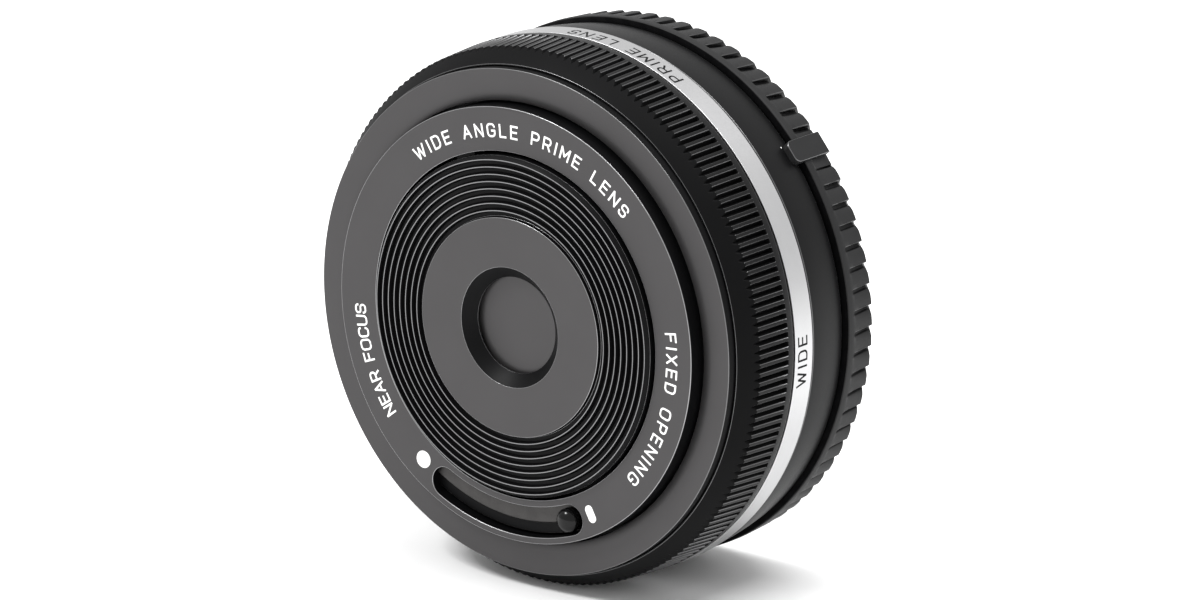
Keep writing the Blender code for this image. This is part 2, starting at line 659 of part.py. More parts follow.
def make_mount():
    profile = [(FLANGE_RADIUS, FLANGE_FRONT), (FLANGE_RADIUS, FLANGE_FACE), (SPIGOT_OUTER, FLANGE_FACE),
               (SPIGOT_OUTER, SPIGOT_BACK), (SPIGOT_INNER, SPIGOT_BACK), (SPIGOT_INNER, FLANGE_FRONT)]
    mount = turned("bayonet_mount", profile, OUTER_STEPS)
    for i, angle in enumerate(CLAW_ANGLES):
        claw = sector(SPIGOT_OUTER - 0.7, CLAW_RADIUS, angle, CLAW_HALF_ANGLE, 10)
        add(mount, prism(f"claw_{i + 1}", claw, CLAW_FRONT, SPIGOT_BACK - 0.1))
    for i, angle in enumerate(MOUNT_SCREW_ANGLES):
        centre = polar(MOUNT_SCREW_PLACE, angle)
        hole = circle(CLEAR_HOLE, centre)
        sink = circle(1.55, centre)
        cut(mount, prism(f"mount_hole_{i + 1}", hole, FLANGE_FRONT - 0.5, FLANGE_FACE + 0.5))
        cut(mount, prism(f"mount_sink_{i + 1}", sink, FLANGE_FRONT + 0.25, FLANGE_FACE + 0.5))
    piece(mount, "chrome")


def make_rear_baffle():
    """Light baffle inside the mount, with a window of the picture's shape."""
    outer = 20.2
    inner = 19.4
    rim_back = 22.2
    profile = [(0.0, BAFFLE_FRONT), (outer, BAFFLE_FRONT), (outer, rim_back), (inner, rim_back),
               (inner, BAFFLE_BACK), (0.0, BAFFLE_BACK)]
    baffle = turned("rear_baffle", profile, OUTER_STEPS)
    window = [(-11.0, -8.0), (11.0, -8.0), (11.0, 8.0), (-11.0, 8.0)]
    slot = block(17.6, 18.7, 3.0, CONTACT_ANGLE)
    for name, outline in (("baffle_window", window), ("flex_slot", slot)):
        cut(baffle, prism(name, outline, BAFFLE_FRONT - 0.6, BAFFLE_BACK + 0.6))
    piece(baffle, "black_plastic")


def make_rear_cap():
    """Cap with an outer rim, an inner cup with three lugs, and an index tab."""
    cup_floor = 25.9
    cup_wall = 24.9
    channel_floor = 24.2
    back_radius = CAP_RADIUS - 3.0
    profile = [(0.0, cup_floor), (CAP_CUP_RADIUS, cup_floor), (CAP_CUP_RADIUS, CAP_FRONT + 0.15),
               (cup_wall, CAP_FRONT + 0.15), (cup_wall, channel_floor), (CAP_WALL_INNER, channel_floor),
               (CAP_WALL_INNER, CAP_FRONT), (CAP_RADIUS - 0.2, CAP_FRONT), (CAP_RADIUS, CAP_FRONT + 0.2),
               (CAP_RADIUS - 0.25, CAP_RIM_BACK), (back_radius, CAP_BACK), (0.0, CAP_BACK)]
    cap = turned("rear_cap", profile, OUTER_STEPS)
    for i, angle in enumerate(CLAW_ANGLES):
        lug = sector(22.25, CAP_CUP_RADIUS + 0.7, angle, LUG_HALF_ANGLE, 10)
        add(cap, prism(f"lug_{i + 1}", lug, CAP_FRONT + 0.25, CAP_FRONT + 0.75))
    clear = CAP_RADIUS - 0.2
    root = sector(28.9, TAB_RADIUS - 0.1, TAB_ANGLE, TAB_HALF_ANGLE, 2)
    top = sector(clear, TAB_RADIUS, TAB_ANGLE, TAB_HALF_ANGLE + 0.1, 2)
    add(cap, prism("tab_root", root, CAP_FRONT + 0.3, TAB_BACK - 0.2))
    add(cap, prism("tab_top", top, TAB_FRONT, TAB_BACK))
    piece(cap, "cap_plastic")


clear_scene()
parts = new_collection("prime_lens")
cutters = new_collection("cutters")
axis = bpy.data.objects.new("optical_axis", None)
parts.objects.link(axis)
axis.rotation_euler = (math.radians(90.0), 0.0, 0.0)

make_front_plate()
make_name_ring()
make_front_bezel()
make_cover_base()
make_cover_ring()
make_cover_knob()
make_cover_blade()
make_outer_rings()
make_rear_barrel()
make_main_frame()
make_screws()
make_front_group()
make_focus_group()
make_rear_group()
make_focus_drive()
make_electronics()
make_mount()
make_rear_baffle()
make_rear_cap()
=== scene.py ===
"""Looks of the pancake prime lens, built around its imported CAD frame.

Sizes are in millimetres and degrees, and become metres where a mesh is made. A depth is measured back
from the face of the name ring, a radius from the optical axis, and an angle anticlockwise from +X as
seen from the front. Radii and depths come from the frame's nodes wherever a node states them.
"""

import json
import math

import bmesh
import bpy
from mathutils import Matrix, Vector


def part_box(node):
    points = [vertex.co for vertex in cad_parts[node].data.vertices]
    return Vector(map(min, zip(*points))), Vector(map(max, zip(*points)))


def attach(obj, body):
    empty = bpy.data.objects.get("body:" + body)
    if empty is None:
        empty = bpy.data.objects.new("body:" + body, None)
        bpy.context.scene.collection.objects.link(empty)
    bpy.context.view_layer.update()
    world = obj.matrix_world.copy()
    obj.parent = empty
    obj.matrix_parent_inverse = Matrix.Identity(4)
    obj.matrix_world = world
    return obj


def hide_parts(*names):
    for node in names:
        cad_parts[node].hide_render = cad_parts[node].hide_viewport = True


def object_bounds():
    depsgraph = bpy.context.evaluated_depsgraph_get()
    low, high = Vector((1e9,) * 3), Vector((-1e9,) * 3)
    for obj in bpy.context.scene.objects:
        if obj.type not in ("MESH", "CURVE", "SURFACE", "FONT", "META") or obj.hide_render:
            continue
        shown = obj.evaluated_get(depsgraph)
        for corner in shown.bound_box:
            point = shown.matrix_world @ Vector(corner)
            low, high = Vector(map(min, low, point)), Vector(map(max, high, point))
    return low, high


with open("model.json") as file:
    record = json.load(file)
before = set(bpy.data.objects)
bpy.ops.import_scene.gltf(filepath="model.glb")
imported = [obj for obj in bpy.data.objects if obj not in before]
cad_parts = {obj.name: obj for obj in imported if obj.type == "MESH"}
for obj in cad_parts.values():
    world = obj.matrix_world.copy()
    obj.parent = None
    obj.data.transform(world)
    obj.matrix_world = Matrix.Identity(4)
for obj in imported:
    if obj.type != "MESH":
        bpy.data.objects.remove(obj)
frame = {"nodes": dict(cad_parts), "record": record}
cad_low, cad_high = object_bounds()

MM = 0.001
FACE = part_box("name_ring")[0].y
STEPS = 240                  # columns round a turned piece
CORNER_POINTS = 3            # strips that round off a corner
SOFT_EDGE = 0.07             # radius of a machined edge
SHARP_ANGLE = 38.0           # an edge that bends more than this is shaded sharp
LENS_POINTS = 10             # strips from the middle of a glass to its edge

# Finish of a strip of a bar. Heights are 0 in the valley and 1 on the top, and its lower end counts.
# The valleys take a painted shade and the top edges a painted highlight.
VALLEY_TOP = 0.5             # below this, the valley's finish
EDGE_LOW = 0.7               # between these two, the top edge's finish
EDGE_HIGH = 0.9

# Light-trap rings of the front plate
FIRST_RIDGE = 12.9           # radius of the innermost ridge
RIDGE_PITCH = 0.8
RIDGE_COUNT = 8
RIDGE_LAND = 0.1             # width of a ridge's flat top
GROOVE_FLOOR = 0.34          # width of the flat floor between two ridges
GROOVE_DEPTH = 0.45

# Knurl of the grip ring
BAR_COUNT = 183
BAR_PHASE = -0.32            # angle of the first bar
KNURL_DEPTH = 0.72           # the bars' full height, at the back
BAR_TOP = 29.88              # radius and depth at which the bars' tops start, at the end of the cone
BAR_FRONT = 4.73
GROOVE_START = 3.95          # a little in front of the grooves' tips
KNURL_BACK = 9.3             # where the plain rim starts
GRIP_NOSE = 28.3             # radius and depth of the front edge of the cone
GRIP_NOSE_DEPTH = 2.65

BARREL_TAIL = 29.3           # radius of the rear barrel's back edge

# Ribs and index tab of the rear cap
RIB_PITCH = 4.5              # angle from one rib to the next
RIB_FRONT = 21.15
RIB_DEPTH = 0.6
TAB_ANGLE = 39.8
TAB_WIDTH = 2.62

# Slot of the cover knob
SLOT_RADIUS = 21.78
SLOT_WIDTH = 3.4
SLOT_START = -116.6
SLOT_END = -69.4

# Ring and drive of the cover blade
TRACK_INNER = 19.9
PIVOT_ANGLE = 90.0           # where round the axis the blade's pivot is
COVER_TURN = 45.0
DRIVE_RADIUS = 14.6

# Printed marks
PAINT = 0.015                # height of the paint above its surface
BAND_FOOT = 12.6             # depth of the foot of the letters on the band
LETTER_RADIUS = 20.8         # foot of the letters on the name ring
LETTER_HEIGHT = 1.55
BAND_LETTER_HEIGHT = 1.65

# Monoline letters: advance width, then centre lines. A third number in a point rounds that corner.
GLYPH_HEIGHT = 6.0
GLYPH_STROKE = 1.0
STROKE_REACH = 0.7           # how far a stroke runs past its end, in half strokes
ARC_POINTS = 5
GLYPHS = {
    " ": (2.6, []),
    "A": (4.8, [[(0, 0), (2.4, 6), (4.8, 0)], [(0.9, 2), (3.9, 2)]]),
    "C": (4.2, [[(4.2, 4.5), (4.2, 6, 1.5), (0, 6, 1.7), (0, 0, 1.7), (4.2, 0, 1.5), (4.2, 1.5)]]),
    "D": (4.3, [[(0, 0.1), (0, 6), (4.3, 6, 1.9), (4.3, 0, 1.9), (0, 0)]]),
    "E": (3.8, [[(3.8, 0), (0, 0), (0, 6), (3.8, 6)], [(0, 3.1), (3.4, 3.1)]]),
    "F": (3.8, [[(0, 0), (0, 6), (3.8, 6)], [(0, 3.0), (3.3, 3.0)]]),
    "G": (4.4, [[(4.3, 4.6), (4.3, 6, 1.5), (0, 6, 1.7), (0, 0, 1.7), (4.4, 0, 1.6), (4.4, 2.8),
                 (2.6, 2.8)]]),
    "I": (0.2, [[(0.1, 0), (0.1, 6)]]),
    "L": (3.6, [[(0, 6), (0, 0), (3.6, 0)]]),
    "M": (5.0, [[(0, 0), (0, 6), (2.5, 1.8), (5, 6), (5, 0)]]),
    "N": (4.4, [[(0, 0), (0, 6), (4.4, 0), (4.4, 6)]]),
    "O": (4.8, [[(2.4, 0), (4.8, 0, 1.7), (4.8, 6, 1.7), (0, 6, 1.7), (0, 0, 1.7), (2.45, 0)]]),
    "P": (4.1, [[(0, 0), (0, 6), (4.1, 6, 1.5), (4.1, 2.6, 1.5), (0, 2.6)]]),
    "R": (4.2, [[(0, 0), (0, 6), (4.1, 6, 1.5), (4.1, 2.6, 1.5), (0, 2.6)], [(2.5, 2.6), (4.2, 0)]]),
    "S": (4.0, [[(3.9, 4.6), (3.9, 6, 1.3), (0, 6, 1.4), (0, 3.1, 1.3), (4, 3.1, 1.4), (4, 0, 1.4),
                 (0, 0, 1.3), (0, 1.4)]]),
    "U": (4.4, [[(0, 6), (0, 0, 1.6), (4.4, 0, 1.6), (4.4, 6)]]),
    "W": (6.4, [[(0, 6), (1.6, 0), (3.2, 5.2), (4.8, 0), (6.4, 6)]]),
    "X": (4.2, [[(0, 0), (4.2, 6)], [(0, 6), (4.2, 0)]]),
}

# Camera and lights, in metres. The camera looks at a point near the axis from a long way off.
CAMERA_AIM = Vector((0.00217, -0.0153, 0.00055))
CAMERA_AZIMUTH = 38.5
CAMERA_ELEVATION = 16.27
CAMERA_DISTANCE = 1.3
CAMERA_LENS = 360.0          # focal length in millimetres
LIGHT_AIM = (0.0, -0.01, 0.0)


# Frame measures

def radii(node):
    """Smallest and largest distance of a node's vertices from the optical axis."""
    spread = [math.hypot(v.co.x, v.co.z) / MM for v in frame["nodes"][node].data.vertices]
    return min(spread), max(spread)


def span(node):
    """Depth of a node's front and of its back."""
    low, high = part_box(node)
    return (low.y - FACE) / MM, (high.y - FACE) / MM


def spot(radius, angle, depth):
    """World place of a point given by its radius, angle and depth."""
    turn = math.radians(angle)
    return Vector((radius * math.cos(turn) * MM, FACE + depth * MM, radius * math.sin(turn) * MM))


# Materials

def noise(tree, place, size, detail):
    """Noise texture whose features are about size millimetres across."""
    texture = tree.nodes.new("ShaderNodeTexNoise")
    texture.inputs["Scale"].default_value = 1.0 / (size * MM)
    texture.inputs["Detail"].default_value = detail
    tree.links.new(place.outputs["Object"], texture.inputs["Vector"])
    return texture


def spread_of(tree, source, low, high):
    """Map the middle of a noise's range to a low and a high value."""
    ranged = tree.nodes.new("ShaderNodeMapRange")
    ranged.inputs["From Min"].default_value = 0.3
    ranged.inputs["From Max"].default_value = 0.7
    ranged.inputs["To Min"].default_value = low
    ranged.inputs["To Max"].default_value = high
    tree.links.new(source.outputs["Fac"], ranged.inputs["Value"])
    return ranged


def surface(name, colour, roughness, metallic=0.0, grain=0.08, relief=0.003, mottle=0.08,
            cloud=5.0, shine=0.5):
    """Principled surface whose colour, gloss and height vary.

    grain and cloud are the sizes of the fine and the broad texture and relief is the fine one's height, all
    in millimetres. mottle is how far the colour strays, and shine is the specular level.
    """
    made = bpy.data.materials.new(name)
    made.use_nodes = True
    made.diffuse_color = (*colour, 1.0)
    tree = made.node_tree
    shader = tree.nodes["Principled BSDF"]
    shader.inputs["Base Color"].default_value = (*colour, 1.0)
    shader.inputs["Roughness"].default_value = roughness
    shader.inputs["Metallic"].default_value = metallic
    shader.inputs["Specular IOR Level"].default_value = shine
    place = tree.nodes.new("ShaderNodeTexCoord")
    fine = noise(tree, place, grain, 2.0)
    broad = noise(tree, place, cloud, 4.0)

    tint = tree.nodes.new("ShaderNodeMix")
    tint.data_type = "RGBA"
    tint.inputs["A"].default_value = (*[c * (1.0 - mottle) for c in colour], 1.0)
    tint.inputs["B"].default_value = (*[min(c * (1.0 + mottle), 1.0) for c in colour], 1.0)
    blend = tree.nodes.new("ShaderNodeMath")
    blend.operation = "MULTIPLY_ADD"
    blend.inputs[1].default_value = 0.5
    halved = spread_of(tree, fine, 0.0, 0.5)
    tree.links.new(spread_of(tree, broad, 0.0, 1.0).outputs["Result"], blend.inputs[0])
    tree.links.new(halved.outputs["Result"], blend.inputs[2])
    tree.links.new(blend.outputs["Value"], tint.inputs["Factor"])
    tree.links.new(tint.outputs["Result"], shader.inputs["Base Color"])

    gloss = spread_of(tree, fine, roughness * 0.9, min(roughness * 1.12, 1.0))
    tree.links.new(gloss.outputs["Result"], shader.inputs["Roughness"])

    bump = tree.nodes.new("ShaderNodeBump")
    bump.inputs["Strength"].default_value = 1.0
    bump.inputs["Distance"].default_value = relief * MM
    tree.links.new(fine.outputs["Fac"], bump.inputs["Height"])
    tree.links.new(bump.outputs["Normal"], shader.inputs["Normal"])
    return made


def glass_surface(name, colour):
    """Coated glass: clear, with a faint coloured sheen that changes over the surface."""
    made = surface(name, colour, 0.03, grain=2.0, relief=0.0002, mottle=0.05)
    shader = made.node_tree.nodes["Principled BSDF"]
    shader.inputs["Transmission Weight"].default_value = 1.0
    shader.inputs["IOR"].default_value = 1.6
    shader.inputs["Coat Weight"].default_value = 1.0
    shader.inputs["Coat Tint"].default_value = (0.55, 0.75, 1.0, 1.0)
    return made


# name: colour, roughness, metallic, grain, relief, mottle, cloud, shine
SURFACES = {
    "anodised_grey": ((0.057, 0.055, 0.056), 0.47, 0.7, 0.06, 0.0012, 0.05, 5.0, 0.5),
    # painted highlight: a bright copy of anodised_grey for the rounded edges of the plates
    "edge_highlight_grey": ((0.3, 0.3, 0.305), 0.3, 1.0, 0.05, 0.0008, 0.1, 5.0, 0.5),
    # painted highlight: a bright copy of anodised_grey for the flat tops of the light-trap ridges
    "ridge_highlight_grey": ((0.2, 0.2, 0.204), 0.36, 0.9, 0.05, 0.0008, 0.08, 5.0, 0.5),
    # painted highlight: a bright copy of anodised_grey for the bezel's rounded corners
    "bevel_highlight_grey": ((0.15, 0.15, 0.152), 0.36, 0.9, 0.05, 0.0008, 0.1, 5.0, 0.5),
    "track_grey": ((0.04, 0.038, 0.037), 0.42, 0.6, 0.09, 0.003, 0.3, 1.2, 0.5),
    "blade_steel": ((0.057, 0.055, 0.056), 0.47, 0.7, 0.06, 0.0012, 0.05, 5.0, 0.5),
    # painted shade: a near-black copy of the anodised and plastic finishes, laid on walls, grooves, gaps and
    # faces that lie in shade
    "painted_shade_black": ((0.003, 0.003, 0.0033), 0.45, 0.0, 0.07, 0.0015, 0.2, 5.0, 0.08),
    "anodised_black": ((0.006, 0.006, 0.0063), 0.34, 0.0, 0.07, 0.002, 0.15, 5.0, 0.12),
    # painted shade: a darker copy of anodised_black for the grip's cone and the grooves between its bars
    "cone_and_groove_shade": ((0.0029, 0.0029, 0.0031), 0.5, 0.0, 0.07, 0.002, 0.15, 5.0, 0.06),
    # painted highlight: a bright metallic copy of the black finishes for rounded edges and the bars' top
    # edges
    "edge_highlight_black": ((0.13, 0.13, 0.132), 0.3, 0.85, 0.05, 0.001, 0.15, 5.0, 0.5),
    "satin_silver": ((0.54, 0.54, 0.545), 0.38, 1.0, 0.09, 0.0035, 0.07, 8.0, 0.5),
    "black_plastic": ((0.004, 0.004, 0.0043), 0.4, 0.0, 0.1, 0.003, 0.15, 5.0, 0.11),
    "cap_plastic": ((0.014, 0.014, 0.0144), 0.5, 0.0, 0.12, 0.006, 0.14, 3.0, 0.16),
    # painted highlight: a bright copy of cap_plastic for the ribs' top edges
    "cap_edge_highlight": ((0.05, 0.05, 0.051), 0.4, 0.3, 0.08, 0.002, 0.15, 5.0, 0.3),
    "gloss_black": ((0.003, 0.003, 0.003), 0.16, 0.0, 0.2, 0.0006, 0.1, 5.0, 0.22),
    "steel": ((0.6, 0.6, 0.6), 0.3, 1.0, 0.05, 0.002, 0.1, 5.0, 0.5),
    "chrome": ((0.8, 0.8, 0.8), 0.16, 1.0, 0.08, 0.0008, 0.04, 5.0, 0.5),
    "copper": ((0.7, 0.35, 0.2), 0.35, 1.0, 0.12, 0.01, 0.15, 5.0, 0.5),
    "gold": ((0.9, 0.65, 0.25), 0.2, 1.0, 0.06, 0.001, 0.05, 5.0, 0.5),
    "board_green": ((0.02, 0.16, 0.07), 0.45, 0.0, 0.3, 0.006, 0.2, 1.5, 0.5),
    "flex_amber": ((0.4, 0.17, 0.03), 0.35, 0.0, 0.2, 0.002, 0.12, 5.0, 0.5),
    "white_paint": ((0.86, 0.86, 0.85), 0.5, 0.0, 0.08, 0.002, 0.03, 5.0, 0.5),
    "black_paint": ((0.006, 0.006, 0.0065), 0.5, 0.0, 0.08, 0.002, 0.1, 5.0, 0.08),
}
FINISHES = {name: surface(name, *values) for name, values in SURFACES.items()}
FINISHES["glass"] = glass_surface("glass", (0.86, 0.9, 0.95))


# Meshes

def dress(item, finishes):
    """Link a new piece, give it its finishes and shade it smooth between sharp edges."""
    bpy.context.scene.collection.objects.link(item)
    for finish in finishes:
        item.data.materials.append(FINISHES[finish])
    item.data.shade_smooth()
    item.data.set_sharp_from_angle(angle=math.radians(SHARP_ANGLE))
    weighted = item.modifiers.new("flat faces stay flat", "WEIGHTED_NORMAL")
    weighted.keep_sharp = True
    return item


def clean(mesh):
    """Weld coincident points, drop faces with no area and turn every face outwards."""
    shape = bmesh.new()
    shape.from_mesh(mesh)
    bmesh.ops.remove_doubles(shape, verts=shape.verts, dist=0.0000005)
    bmesh.ops.dissolve_degenerate(shape, edges=shape.edges, dist=0.0000004)
    bmesh.ops.recalc_face_normals(shape, faces=shape.faces)
    shape.to_mesh(mesh)
    shape.free()


def rounded(profile, edge):
    """Round the corners of a closed profile of (radius, depth, fillet, finish of the run that follows).

    Returns its points and the finish of the strip after each of them. The strips of a corner take edge.
    """
    points = []
    strips = []
    for i, (radius, depth, fillet, finish) in enumerate(profile):
        here = Vector((radius, depth))
        if fillet == 0.0:
            points.append(here)
            strips.append(finish)
            continue
        before = (Vector(profile[i - 1][:2]) - here).normalized()
        after = (Vector(profile[(i + 1) % len(profile)][:2]) - here).normalized()
        half = before.angle(after) / 2
        start = before * (fillet / math.tan(half))
        end = after * (fillet / math.tan(half))
        centre = (before + after).normalized() * (fillet / math.sin(half))
        for k in range(CORNER_POINTS + 1):
            spoke = (start - centre).lerp(end - centre, k / CORNER_POINTS).normalized() * fillet
            points.append(here + centre + spoke)
            strips.append(edge if k < CORNER_POINTS else finish)
    return points, strips


def refined(points, strips, front, back, step):
    """Add points to the runs that go back between two depths, so that no strip is longer than step."""
    out_points = []
    out_strips = []
    for i, point in enumerate(points):
        out_points.append(point)
        out_strips.append(strips[i])
        after = points[(i + 1) % len(points)]
        if after.y <= point.y or point.y > back or after.y < front:
            continue
        count = math.ceil((after - point).length / step)
        for k in range(1, count):
            middle = point.lerp(after, k / count)
            if front <= middle.y <= back:
                out_points.append(middle)
                out_strips.append(strips[i])
    return out_points, out_strips


def lathe(name, points, strips, columns, radius_at=None, bars=None):
    """Mesh with one ring of vertices for each profile point. columns are (angle, height) pairs.

    radius_at(radius, depth, height) gives a vertex its radius, where the piece isn't plainly round. bars
    are the first and last depth of its bars, and the finishes of their top edges, a painted highlight, and
    of the valleys between, a painted shade.
    """
    on_axis = points[0].x == 0.0
    vertices = []
    for point in points:
        for angle, height in columns:
            radius = radius_at(point.x, point.y, height) if radius_at else point.x
            vertices.append(spot(radius, angle, point.y))
    bars_from, bars_to, top_edge_highlight, valley = bars or (0.0, 0.0, strips[0], strips[0])
    finishes = list(dict.fromkeys(strips + [top_edge_highlight, valley]))
    faces = []
    indices = []
    width = len(columns)
    for i in range(len(points) - 1 if on_axis else len(points)):
        below = ((i + 1) % len(points)) * width
        on_bars = bars_from <= points[i].y < bars_to
        for j in range(width):
            beside = (j + 1) % width
            faces.append((i * width + j, i * width + beside, below + beside, below + j))
            low = min(columns[j][1], columns[beside][1])
            finish = strips[i]
            if on_bars and low < VALLEY_TOP:
                finish = valley
            elif on_bars and EDGE_LOW < low < EDGE_HIGH:
                finish = top_edge_highlight
            indices.append(finishes.index(finish))
    mesh = bpy.data.meshes.new(name)
    mesh.from_pydata(vertices, [], faces)
    mesh.polygons.foreach_set("material_index", indices)
    clean(mesh)
    return bpy.data.objects.new(name, mesh), finishes


def stacked(name, vertices, count):
    """Closed mesh from rings of count vertices, one above the other."""
    rings = len(vertices) // count
    faces = []
    for start in range(0, (rings - 1) * count, count):
        for j in range(count):
            beside = (j + 1) % count
            faces.append((start + j, start + beside, start + count + beside, start + count + j))
    faces.append(tuple(range(count)))
    faces.append(tuple(range((rings - 1) * count, rings * count)))
    mesh = bpy.data.meshes.new(name)
    mesh.from_pydata(vertices, [], faces)
    clean(mesh)
    return mesh


def round_columns(count=STEPS):
    """Evenly spaced columns of a plainly round piece."""
    return [(360.0 * j / count, 1.0) for j in range(count)]


def turned(name, profile, edge, body="lens_body", replaces=()):
    """Round piece with softened corners, riding on a body in place of the nodes it replaces."""
    points, strips = rounded(profile, edge)
    item, finishes = lathe(name, points, strips, round_columns())
    return settle(dress(item, finishes), body, replaces)


def settle(item, body, replaces=()):
    """Make a finished piece ride on a body, in place of the nodes it replaces."""
    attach(item, body)
    if replaces:
        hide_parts(*replaces)
    return item


# Front of the lens

def make_front_plate():
    """Centre plate: a funnel down to the cover blade, a flat centre and eight light-trap ridges.

    Its funnel, walls and grooves take a painted shade, its ridge tops and rounded corners a painted
    highlight.
    """
    front, back = span("front_plate")
    throat, outer = radii("front_plate")
    funnel = 6.69
    centre = 12.149
    floor = front + GROOVE_DEPTH
    profile = [(outer, floor, 0.04, "painted_shade_black"), (outer, back, 0.1, "painted_shade_black"),
               (throat, back, 0.04, "painted_shade_black"), (throat, back - 0.2, 0.03, "painted_shade_black"),
               (funnel, front, 0.035, "anodised_grey"), (centre, front, 0.05, "painted_shade_black"),
               (centre + 0.1, floor, 0.03, "painted_shade_black")]
    slope = (RIDGE_PITCH - RIDGE_LAND - GROOVE_FLOOR) / 2
    for i in range(RIDGE_COUNT):
        ridge = FIRST_RIDGE + RIDGE_PITCH * i
        # each groove's floor and flanks take a painted shade and each ridge top a painted highlight
        profile.append((ridge - RIDGE_LAND / 2 - slope, floor, 0.0, "painted_shade_black"))
        profile.append((ridge - RIDGE_LAND / 2, front, 0.0, "ridge_highlight_grey"))
        profile.append((ridge + RIDGE_LAND / 2, front, 0.0, "painted_shade_black"))
        if i < RIDGE_COUNT - 1:
            profile.append((ridge + RIDGE_LAND / 2 + slope, floor, 0.0, "painted_shade_black"))
    turned("front_plate_shell", profile, "edge_highlight_grey", replaces=["front_plate"])


def slot_outline(count=40, cap=16):
    """Points round the knob's slot, in millimetres on the ring's face.

    count is how many steps go along each side, and cap how many go round each end.
    """
    half = SLOT_WIDTH / 2
    sides = ((SLOT_RADIUS + half, SLOT_START, SLOT_END), (SLOT_RADIUS - half, SLOT_END, SLOT_START))
    points = []
    for radius, start, end in sides:
        for i in range(count + 1):
            turn = math.radians(start + (end - start) * i / count)
            points.append((radius * math.cos(turn), radius * math.sin(turn)))
        middle = Vector((SLOT_RADIUS, 0.0))
        middle.rotate(Matrix.Rotation(math.radians(end), 2))
        first = math.radians(end) if radius > SLOT_RADIUS else math.radians(end) + math.pi
        for i in range(1, cap):
            turn = first + math.pi * i / cap
            points.append((middle.x + half * math.cos(turn), middle.y + half * math.sin(turn)))
    return points


def ring_outline(radius, count=STEPS):
    """Points round a circle, in millimetres on the ring's face."""
    turns = [2 * math.pi * i / count for i in range(count)]
    return [(radius * math.cos(turn), radius * math.sin(turn)) for turn in turns]


def mesh_of(curve):
    """Mesh of a curve, with its bevel and caps. The curve's own object is taken away again."""
    guide = bpy.data.objects.new(curve.name + "_guide", curve)
    bpy.context.scene.collection.objects.link(guide)
    bpy.context.view_layer.update()
    mesh = bpy.data.meshes.new_from_object(guide.evaluated_get(bpy.context.evaluated_depsgraph_get()))
    bpy.data.objects.remove(guide)
    mesh.materials.clear()
    return mesh


def plate_with_holes(name, outlines, front, back, edge):
    """Flat plate from 2D outlines, the first the rim and the others holes, with rounded edges."""
    curve = bpy.data.curves.new(name, "CURVE")
    curve.dimensions = "2D"
    curve.fill_mode = "BOTH"
    for outline in outlines:
        spline = curve.splines.new("POLY")
        spline.points.add(len(outline) - 1)
        for point, (x, y) in zip(spline.points, outline):
            point.co = (x * MM, y * MM, 0.0, 1.0)
        spline.use_cyclic_u = True
    curve.extrude = ((back - front) / 2 - edge) * MM
    curve.bevel_depth = edge * MM
    curve.bevel_resolution = 2
    curve.offset = -edge * MM
    mesh = mesh_of(curve)
    upright = Matrix.Rotation(math.pi / 2, 4, "X")
    mesh.transform(Matrix.Translation((0.0, FACE + (front + back) / 2 * MM, 0.0)) @ upright)
    clean(mesh)
    return mesh


def paint_highlight_and_shade(mesh):
    """Give a plate's front its first material, the soft edges round it the second and the rest the third, by
    which way each face points: a painted highlight on the edges and painted shade on the rest.
    """
    front = min(v.co.y for v in mesh.vertices)
    for polygon in mesh.polygons:
        near = polygon.center.y < front + 2 * SOFT_EDGE * MM
        if polygon.normal.y < -0.98 and near:
            polygon.material_index = 0
        else:
            polygon.material_index = 1 if polygon.normal.y < -0.2 else 2


def make_name_ring():
    """Flat ring that carries the lettering, with the knob's slot through it and a skirt behind."""
    inner, outer = radii("name_ring")
    back = span("name_ring")[1]
    plate_back = 1.55
    skirt_inner = 23.55
    outlines = [ring_outline(outer), ring_outline(inner), slot_outline()]
    mesh = plate_with_holes("name_ring_plate", outlines, 0.0, plate_back, SOFT_EDGE)
    paint_highlight_and_shade(mesh)
    plate = bpy.data.objects.new("name_ring_plate", mesh)
    # front in the grey finish, soft edges a painted highlight, walls and back a painted shade
    dress(plate, ["anodised_grey", "edge_highlight_grey", "painted_shade_black"])
    settle(plate, "lens_body", ["name_ring"])
    # the skirt behind is all painted shade
    skirt_front = plate_back - 0.05
    profile = [(outer, skirt_front, 0.0, "painted_shade_black"), (outer, back, 0.05, "painted_shade_black"),
               (skirt_inner, back, 0.05, "painted_shade_black"), (skirt_inner, skirt_front, 0.0, "painted_shade_black")]
    turned("name_ring_skirt", profile, "painted_shade_black")


def make_front_bezel():
    """Flat grey ring that dips a little beside the name ring, with a skirt behind.

    Its walls, back and skirt take a painted shade and its rounded corners a painted highlight.
    """
    front, back = span("front_bezel")
    inner, outer = radii("front_bezel")
    skirt = 27.0
    flat_back = 2.3
    dip = 0.2
    dip_width = 1.2
    profile = [(outer, front, 0.07, "painted_shade_black"), (outer, back, 0.05, "painted_shade_black"),
               (skirt, back, 0.05, "painted_shade_black"), (skirt, flat_back, 0.05, "painted_shade_black"),
               (inner, flat_back, 0.05, "painted_shade_black"), (inner, front + dip, 0.03, "anodised_grey")]
    for part in (0.25, 0.5, 0.75, 1.0):
        profile.append((inner + dip_width * part, front + dip * (1.0 - part) ** 2, 0.0, "anodised_grey"))
    turned("front_bezel_ring", profile, "bevel_highlight_grey", replaces=["front_bezel"])


def make_cover_track():
    """Ring under the name ring, with a black step outside the grey track that shows through the slot; the
    step's black is painted shade.
    """
    front, back = span("cover_ring")
    outer = radii("cover_ring")[1]
    step = 21.9
    step_back = front + 0.35
    profile = [(outer, step_back, 0.05, "black_plastic"), (outer, back, 0.08, "black_plastic"),
               (TRACK_INNER, back, 0.08, "black_plastic"), (TRACK_INNER, front, 0.08, "track_grey"),
               (step, front, 0.1, "painted_shade_black"), (step + 0.15, step_back, 0.03, "painted_shade_black")]
    turned("cover_ring_track", profile, "track_grey", "cover_ring", ["cover_ring"])


